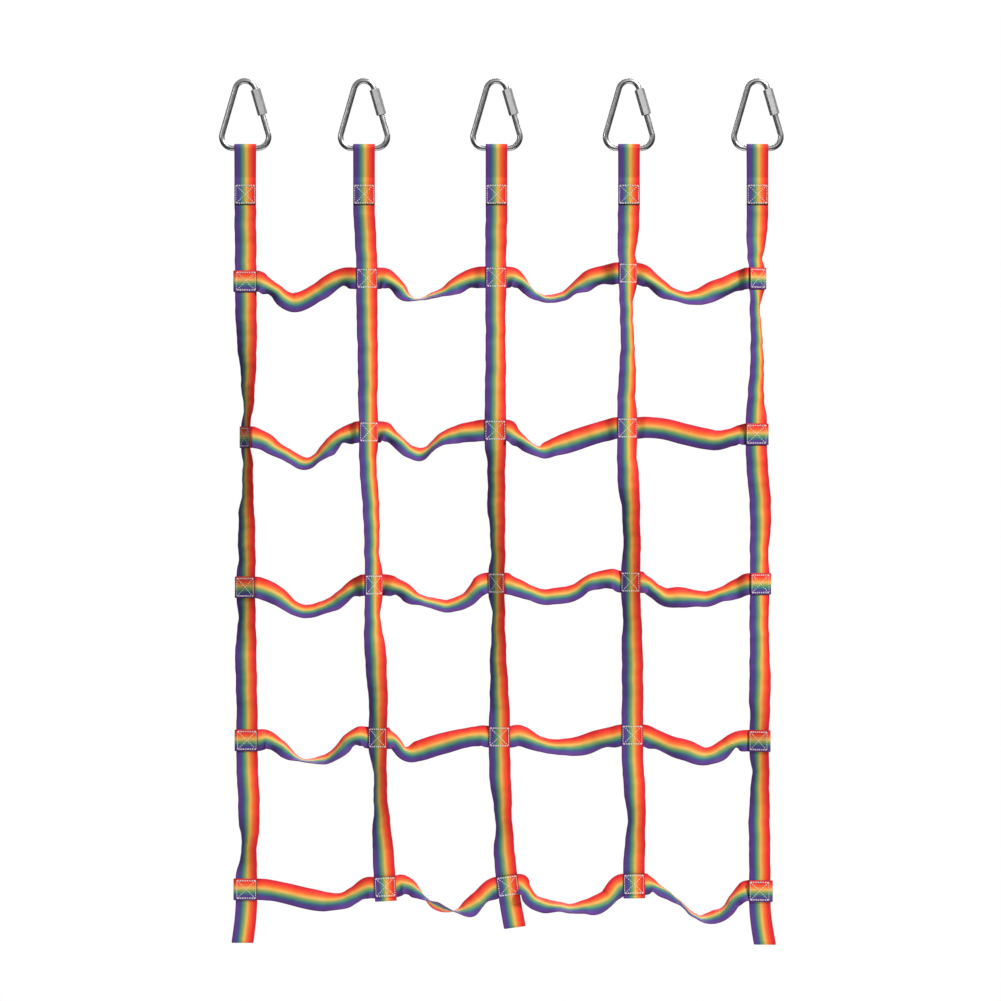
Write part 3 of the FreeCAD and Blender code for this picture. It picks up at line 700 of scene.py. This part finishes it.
def smooth_uprights(samples):
    """Direction across the strap at each sample, before its roll, with no sudden changes."""
    places = [sample.place for sample in samples]
    alongs = [(after - before).normalized() for before, after
              in zip(places[:1] + places, places[1:] + places[-1:])]
    uprights = [(Vector((0, 0, 1)) - along * along.z).normalized() for along in alongs]
    free = [sample.window > 0 for sample in samples]
    for _ in range(TILT_PASSES):
        uprights = [((before + upright * 2 + after) / 4).normalized() if is_free else upright
                    for before, upright, after, is_free
                    in zip(uprights[:1] + uprights, uprights, uprights[1:] + uprights[-1:], free)]
    return [(upright - along * upright.dot(along)).normalized()
            for upright, along in zip(uprights, alongs)], alongs


def horizontal_piece(row):
    """One horizontal strap with its two wrapped ends."""
    samples = horizontal_samples(row)
    stations = []
    for index, (sample, upright, along) in enumerate(zip(samples, *smooth_uprights(samples))):
        roll = math.radians(sample.roll)
        across = upright * math.cos(roll) - along.cross(upright) * math.sin(roll)
        cup = BAY_CUP * sample.window * math.cos(roll) ** 2
        stations.append(Station(sample.place, across, (cup, cup), sample.curl,
                                ripple(row * ROW_SEED, index * STEP) * sample.window))
    piece, length = ribbon(f"webbing_row_{row}", stations, (True, True))
    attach(piece, f"row_{row}")
    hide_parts(f"horizontal_strap_{row}")


# ---- stitching ---------------------------------------------------------------------------------

THREAD_SIDES = 6
THREAD_RINGS = 5
# How deep a stitch's ends sink, how high its middle stands above them, and how far apart the two
# lines of stitches at a seam's top and bottom are.
SINK = 0.2
BULGE = 0.5
DOUBLE_ROW = 1.3
# Share of the thread's radius that a stitch has at its ends.
END_SHARE = 0.7


def seam_lines():
    """Lines of stitches in a box-and-cross seam as ((x, z), (x, z)), its ends sewn twice."""
    x, z = SEAM_WIDTH / 2, SEAM_HEIGHT / 2
    lines = [((-x, -z), (-x, z)), ((x, -z), (x, z)), ((-x, -z), (x, z)), ((-x, z), (x, -z))]
    for height in (z, z - DOUBLE_ROW, -z, DOUBLE_ROW - z):
        lines.append(((-x, height), (x, height)))
    return lines


def add_stitch(verts, faces, centre, along, side, out):
    """One stitch: a short arch of thread whose two ends sink into the webbing."""
    first = len(verts)
    for ring in range(THREAD_RINGS):
        share = ring / (THREAD_RINGS - 1)
        arch = math.sin(math.pi * share)
        middle = centre + along * (STITCH_LENGTH * (share - 0.5)) + out * (BULGE * arch - SINK)
        radius = THREAD_RADIUS * (END_SHARE + (1 - END_SHARE) * arch)
        for number in range(THREAD_SIDES):
            angle = 2 * math.pi * number / THREAD_SIDES
            verts.append((middle + (side * math.cos(angle) + out * math.sin(angle)) * radius) * MM)
    for ring in range(THREAD_RINGS - 1):
        row = first + ring * THREAD_SIDES
        for number in range(THREAD_SIDES):
            after = (number + 1) % THREAD_SIDES
            faces.append((row + number, row + after, row + THREAD_SIDES + after,
                          row + THREAD_SIDES + number))
    end = first + (THREAD_RINGS - 1) * THREAD_SIDES
    faces.append(tuple(range(first + THREAD_SIDES - 1, first - 1, -1)))
    faces.append(tuple(range(end, end + THREAD_SIDES)))


def add_seam(verts, faces, centre, turn, front, back):
    """A seam's stitches on the front face and the back face of the layers at a place."""
    for depth, facing in ((front, -1), (back, 1)):
        out = turn @ Vector((0, facing, 0))
        for (start_x, start_z), (end_x, end_z) in seam_lines():
            start, end = Vector((start_x, depth, start_z)), Vector((end_x, depth, end_z))
            along = turn @ (end - start).normalized()
            count = round((end - start).length / STITCH_PITCH)
            for number in range(count):
                place = centre + turn @ start.lerp(end, (number + 0.5) / count)
                add_stitch(verts, faces, place, along, out.cross(along), out)


def stitching(name, seams, body, node):
    """One piece with all the stitches of the seams, which are (centre, turn, front, back)."""
    verts, faces = [], []
    for seam in seams:
        add_seam(verts, faces, *seam)
    mesh = bpy.data.meshes.new(name)
    mesh.from_pydata(verts, [], faces)
    mesh.polygons.foreach_set("use_smooth", [True] * len(faces))
    mesh.materials.append(THREAD)
    piece = bpy.data.objects.new(name, mesh)
    bpy.context.scene.collection.objects.link(piece)
    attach(piece, body)
    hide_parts(node)


def row_stitching(row):
    """The five seams of a row."""
    seams = []
    for column in COLUMNS:
        layers = [vertical_depth(row, column), horizontal_depth(row, column)]
        if column in OUTER_COLUMNS or row == LAST_ROW:
            layers.append(-LAYER)
        seams.append((CENTRE[row][column], crossing_turn(row, column),
                      min(layers) - THICKNESS / 2, max(layers) + THICKNESS / 2))
    stitching(f"stitches_row_{row}", seams, f"row_{row}", f"row_{row}_stitching")


def loop_stitching():
    """The seams that close the five top loops."""
    seams = [(Vector((LOOP_X[column], 0, BAR_Z - LOOP_SEAM_DROP)), Matrix.Identity(3),
              -LAYER - THICKNESS / 2, THICKNESS / 2) for column in COLUMNS]
    stitching("stitches_top_loops", seams, "row_1", "top_loop_stitching")


# ---- materials ---------------------------------------------------------------------------------

def linear(colour):
    """A colour in sRGB from 0 to 255 as linear RGBA."""
    shares = [value / 255 for value in colour]
    return [s / 12.92 if s <= 0.04045 else ((s + 0.055) / 1.055) ** 2.4 for s in shares] + [1.0]


def set_stops(ramp, stops):
    """Gives a colour ramp its stops, which are (share, linear RGBA)."""
    while len(ramp.elements) < len(stops):
        ramp.elements.new(0.5)
    for element, (share, _) in zip(ramp.elements, stops):
        element.position = share
    for element, (_, colour) in zip(ramp.elements, stops):
        element.color = colour


class Shader:
    """A material's node tree, with short calls for the nodes that the materials share."""

    def __init__(self, name, **constants):
        self.material = bpy.data.materials.new(name)
        self.material.use_nodes = True
        self.tree = self.material.node_tree
        self.surface = self.tree.nodes["Principled BSDF"]
        for socket, value in constants.items():
            self.surface.inputs[socket.replace("_", " ").title().replace("Ior", "IOR")
                                ].default_value = value

    def add(self, kind, inputs=(), **settings):
        """A node with its settings and its inputs, each a value or another node's socket."""
        node = self.tree.nodes.new(f"ShaderNode{kind}")
        for name, value in settings.items():
            setattr(node, name, value)
        for socket, value in dict(inputs).items():
            self.feed(node.inputs[socket], value)
        return node

    def feed(self, socket, value):
        """Sets an input, or links it."""
        if isinstance(value, bpy.types.NodeSocket):
            self.tree.links.new(value, socket)
        else:
            socket.default_value = value

    def maths(self, operation, first, second=0.0):
        """Result of a Math node."""
        return self.add("Math", {0: first, 1: second}, operation=operation).outputs[0]

    def noise(self, vector, scale, detail):
        """Noise from 0 to 1 at a scale per metre of the vector."""
        return self.add("TexNoise", {"Vector": vector, "Scale": scale, "Detail": detail}
                        ).outputs["Fac"]

    def spread(self, value, low, high):
        """A value from 0 to 1 spread from low to high."""
        return self.add("MapRange", {"Value": value, "To Min": low, "To Max": high}).outputs[0]

    def ramp(self, factor, stops):
        """Colour of a ramp through the stops, which are (share, sRGB)."""
        node = self.add("ValToRGB", {"Fac": factor})
        set_stops(node.color_ramp, [(share, linear(colour)) for share, colour in stops])
        return node.outputs["Color"]

    def shade(self, colour, factor):
        """A colour times a factor."""
        return self.add("VectorMath", {0: colour, "Scale": factor}, operation="SCALE").outputs[0]

    def blend(self, factor, first, second):
        """Mix of two colours."""
        node = self.add("Mix", data_type="RGBA")
        for socket, value in ((0, factor), (6, first), (7, second)):
            self.feed(node.inputs[socket], value)
        return node.outputs[2]

    def bump(self, height, strength, distance, below=None):
        """Normal of a bump map, over another one if given."""
        inputs = {"Height": height, "Strength": strength, "Distance": distance}
        if below:
            inputs["Normal"] = below
        return self.add("Bump", inputs).outputs["Normal"]

    def finish(self, **outputs):
        """Feeds the surface and returns the material."""
        for socket, value in outputs.items():
            self.feed(self.surface.inputs[socket.replace("_", " ").title()], value)
        return self.material


# Pitch of the webbing's weft, in mm, and how far a heat cut darkens and smooths it; part of that darkening is
# painted shade for the shadow of the raw edge.
WEFT_PITCH = 2.4
MELT_AND_EDGE_SHADOW_TINT = 0.22
MELT_SMOOTHING = 0.3
MELT_GAIN = 1.6


def webbing_material():
    """Striped woven polyester: lengthwise yarns that float over and under the weft, with painted shade between the
    yarns and, partly, at the heat-cut ends.
    """
    shader = Shader("webbing", specular_ior_level=0.3, sheen_weight=0.08, sheen_roughness=0.5)
    uv = shader.add("UVMap", uv_map="UVMap").outputs["UV"]
    parts = shader.add("SeparateXYZ", {0: uv}).outputs
    yarn = shader.maths("MULTIPLY", parts["X"], YARNS_ACROSS)
    number = shader.maths("FLOOR", yarn)
    across = shader.maths("FRACT", yarn)
    weft_rows = shader.maths("MULTIPLY", parts["Y"], WIDTH / WEFT_PITCH)
    offset = shader.maths("MULTIPLY", number, 0.5)
    along = shader.maths("FRACT", shader.maths("ADD", weft_rows, offset))
    yarn_round = shader.maths("SINE", shader.maths("MULTIPLY", across, math.pi))
    float_round = shader.maths("SINE", shader.maths("MULTIPLY", along, math.pi))
    weave_relief_and_shade = shader.maths("MULTIPLY", shader.maths("POWER", yarn_round, 0.5),
                         shader.maths("POWER", float_round, 0.6))
    place = shader.add("TexCoord").outputs["Object"]
    soiling = shader.noise(place, 18.0, 3.0)
    fibres = shader.noise(place, 1400.0, 2.0)
    column = shader.maths("DIVIDE", shader.maths("ADD", number, 0.5), YARNS_ACROSS)
    stripe = shader.ramp(column, STRIPES)
    # Painted shade between the yarns and a little painted light on their crowns, taken from the weave's relief.
    colour = shader.shade(stripe, shader.spread(weave_relief_and_shade, 0.80, 1.06))
    colour = shader.shade(colour, shader.spread(soiling, 0.92, 1.08))
    colour = shader.shade(colour, shader.spread(fibres, 0.93, 1.07))
    melt_and_edge_shadow = shader.add("Attribute", attribute_name="melt_and_edge_shadow").outputs["Fac"]
    melt_and_edge_shadow = shader.maths("MINIMUM", shader.maths("MULTIPLY", melt_and_edge_shadow, MELT_GAIN), 1.0)
    # Painted shade, partly: a raw end darkens as the real fused end and also as the shadow its raw edge casts.
    colour = shader.blend(melt_and_edge_shadow, colour, shader.shade(colour, MELT_AND_EDGE_SHADOW_TINT))
    rough = shader.maths("SUBTRACT", shader.spread(fibres, 0.62, 0.78),
                         shader.maths("MULTIPLY", melt_and_edge_shadow, MELT_SMOOTHING))
    normal = shader.bump(weave_relief_and_shade, 0.35, 0.00025)
    normal = shader.bump(fibres, 0.12, 0.0001, normal)
    return shader.finish(base_color=colour, roughness=rough, normal=normal)


def thread_material():
    """Off-white twisted polyester thread, with painted shade in the grooves between its plies."""
    shader = Shader("thread", specular_ior_level=0.4, sheen_weight=0.1, sheen_roughness=0.4)
    place = shader.add("TexCoord").outputs["Object"]
    plies_relief_and_shade = shader.add("TexWave", {"Vector": place, "Scale": 420.0, "Distortion": 1.5},
                       bands_direction="DIAGONAL").outputs["Fac"]
    worn = shader.noise(place, 90.0, 3.0)
    colour = shader.ramp(worn, ((0.2, (226, 222, 210)), (0.8, (250, 248, 242))))
    # Painted shade: the thread darkens in the grooves between its plies.
    colour = shader.shade(colour, shader.spread(plies_relief_and_shade, 0.82, 1.0))
    return shader.finish(base_color=colour, roughness=shader.spread(worn, 0.5, 0.65),
                         normal=shader.bump(plies_relief_and_shade, 0.4, 0.0001))


def steel_material(name, tilt, dark, light, roughness, lines):
    """Zinc-plated steel with faint lines across its drawn or turned direction."""
    shader = Shader(name, metallic=1.0)
    place = shader.add("TexCoord").outputs["Object"]
    turned = shader.add("Mapping", {"Vector": place, "Rotation": (0, tilt, 0)}).outputs[0]
    rings = shader.add("TexWave", {"Vector": turned, "Scale": lines, "Distortion": 2.0,
                                   "Detail": 2.0, "Detail Scale": 3.0},
                       bands_direction="Z").outputs["Fac"]
    clouds = shader.noise(place, 120.0, 4.0)
    grain = shader.noise(place, 2200.0, 2.0)
    colour = shader.ramp(clouds, ((0.25, dark), (0.75, light)))
    rough = shader.maths("ADD", shader.spread(clouds, roughness * 0.8, roughness * 1.2),
                         shader.spread(grain, -0.03, 0.03))
    normal = shader.bump(rings, 0.03, 0.00003)
    normal = shader.bump(grain, 0.01, 0.00001, normal)
    return shader.finish(base_color=colour, roughness=rough, normal=normal)


def floor_material():
    """Pale matt studio floor."""
    shader = Shader("floor", specular_ior_level=0.2)
    place = shader.add("TexCoord").outputs["Object"]
    colour = shader.ramp(shader.noise(place, 3.0, 3.0), ((0.3, (236, 236, 235)),
                                                         (0.7, (242, 242, 241))))
    return shader.finish(base_color=colour, roughness=shader.spread(colour, 0.75, 0.85))


# Tilt of a link's leg and so of its nut, in radians.
LEG_TILT = 0.281
WEBBING = webbing_material()
THREAD = thread_material()
LINK_STEEL = steel_material("link_steel", 0.0, (186, 188, 190), (208, 209, 211), 0.3, 60.0)
NUT_STEEL = steel_material("nut_steel", LEG_TILT, (226, 227, 228), (240, 240, 241), 0.42, 260.0)


def finish_metal():
    """Gives the links and nuts their steel."""
    for column in COLUMNS:
        for part, material in (("wire", LINK_STEEL), ("nut", NUT_STEEL)):
            for slot in frame["nodes"][f"link_{column}_{part}"].material_slots:
                slot.material = material


# ---- studio ------------------------------------------------------------------------------------

# The studio is in metres.
CAMERA_DISTANCE = 12.0
VIEW_CENTRE = Vector((0.007, 0.0, -0.730))
VIEW_WIDTH = 1.753
FLOOR_Z = -1.72
FLOOR_RADIUS = 1.1
FLOOR_SIDES = 96
# Greys of the world from straight below to straight above, as (share, linear grey).
WORLD_GREYS = ((0.0, 0.05), (0.38, 0.10), (0.52, 0.26), (0.66, 0.60), (1.0, 1.0))
WORLD_STRENGTH = 0.4


def add_camera():
    """Camera straight in front of the net, far away with a long lens."""
    data = bpy.data.cameras.new("camera")
    data.lens = data.sensor_width * CAMERA_DISTANCE / VIEW_WIDTH
    data.clip_end = 100.0
    camera = bpy.data.objects.new("camera", data)
    camera.location = VIEW_CENTRE - Vector((0, CAMERA_DISTANCE, 0))
    camera.rotation_euler = (math.pi / 2, 0, 0)
    bpy.context.scene.collection.objects.link(camera)
    bpy.context.scene.camera = camera


def add_light(name, place, size, power):
    """Soft square light that looks at the view's centre."""
    data = bpy.data.lights.new(name, "AREA")
    data.size = size
    data.energy = power
    light = bpy.data.objects.new(name, data)
    light.location = place
    light.rotation_mode = "QUATERNION"
    light.rotation_quaternion = (VIEW_CENTRE - Vector(place)).to_track_quat("-Z", "Y")
    bpy.context.scene.collection.objects.link(light)


def add_world():
    """White behind the object, and a studio gradient for light and reflections."""
    world = bpy.data.worlds.new("studio")
    bpy.context.scene.world = world
    world.use_nodes = True
    nodes, links = world.node_tree.nodes, world.node_tree.links
    place = nodes.new("ShaderNodeTexCoord")
    parts = nodes.new("ShaderNodeSeparateXYZ")
    links.new(place.outputs["Generated"], parts.inputs[0])
    height = nodes.new("ShaderNodeMapRange")
    height.inputs["From Min"].default_value = -1.0
    links.new(parts.outputs["Z"], height.inputs["Value"])
    ramp = nodes.new("ShaderNodeValToRGB")
    set_stops(ramp.color_ramp, [(share, (grey, grey, grey, 1)) for share, grey in WORLD_GREYS])
    links.new(height.outputs[0], ramp.inputs[0])
    gradient = nodes["Background"]
    links.new(ramp.outputs["Color"], gradient.inputs["Color"])
    gradient.inputs["Strength"].default_value = WORLD_STRENGTH
    white = nodes.new("ShaderNodeBackground")
    white.inputs["Color"].default_value = (1, 1, 1, 1)
    mix = nodes.new("ShaderNodeMixShader")
    rays = nodes.new("ShaderNodeLightPath")
    links.new(rays.outputs["Is Camera Ray"], mix.inputs[0])
    links.new(gradient.outputs[0], mix.inputs[1])
    links.new(white.outputs[0], mix.inputs[2])
    links.new(mix.outputs[0], nodes["World Output"].inputs["Surface"])


def add_floor():
    """Round pale floor below the net."""
    angles = [2 * math.pi * side / FLOOR_SIDES for side in range(FLOOR_SIDES)]
    rim = [(FLOOR_RADIUS * math.cos(angle), FLOOR_RADIUS * math.sin(angle), FLOOR_Z)
           for angle in angles]
    mesh = bpy.data.meshes.new("floor")
    mesh.from_pydata(rim, [], [tuple(range(FLOOR_SIDES))])
    mesh.materials.append(floor_material())
    floor = bpy.data.objects.new("floor", mesh)
    bpy.context.scene.collection.objects.link(floor)


def add_studio():
    """Camera, lights, world and floor."""
    add_camera()
    add_world()
    add_light("key", (3.6, -3.6, 3.8), 1.2, 570.0)
    add_light("fill", (0.5, -6.0, 1.5), 2.6, 24.0)
    add_light("back", (0.6, 4.6, 1.6), 2.4, 190.0)
    add_light("strip", (-4.0, -3.0, 0.6), 0.8, 24.0)
    add_floor()
    bpy.context.scene.view_settings.view_transform = "Standard"


for column in COLUMNS:
    top_piece(column)
    for gap in GAPS:
        gap_piece(column, gap)
    bottom_piece(column)
for row in ROWS:
    horizontal_piece(row)
    row_stitching(row)
loop_stitching()
finish_metal()
add_studio()
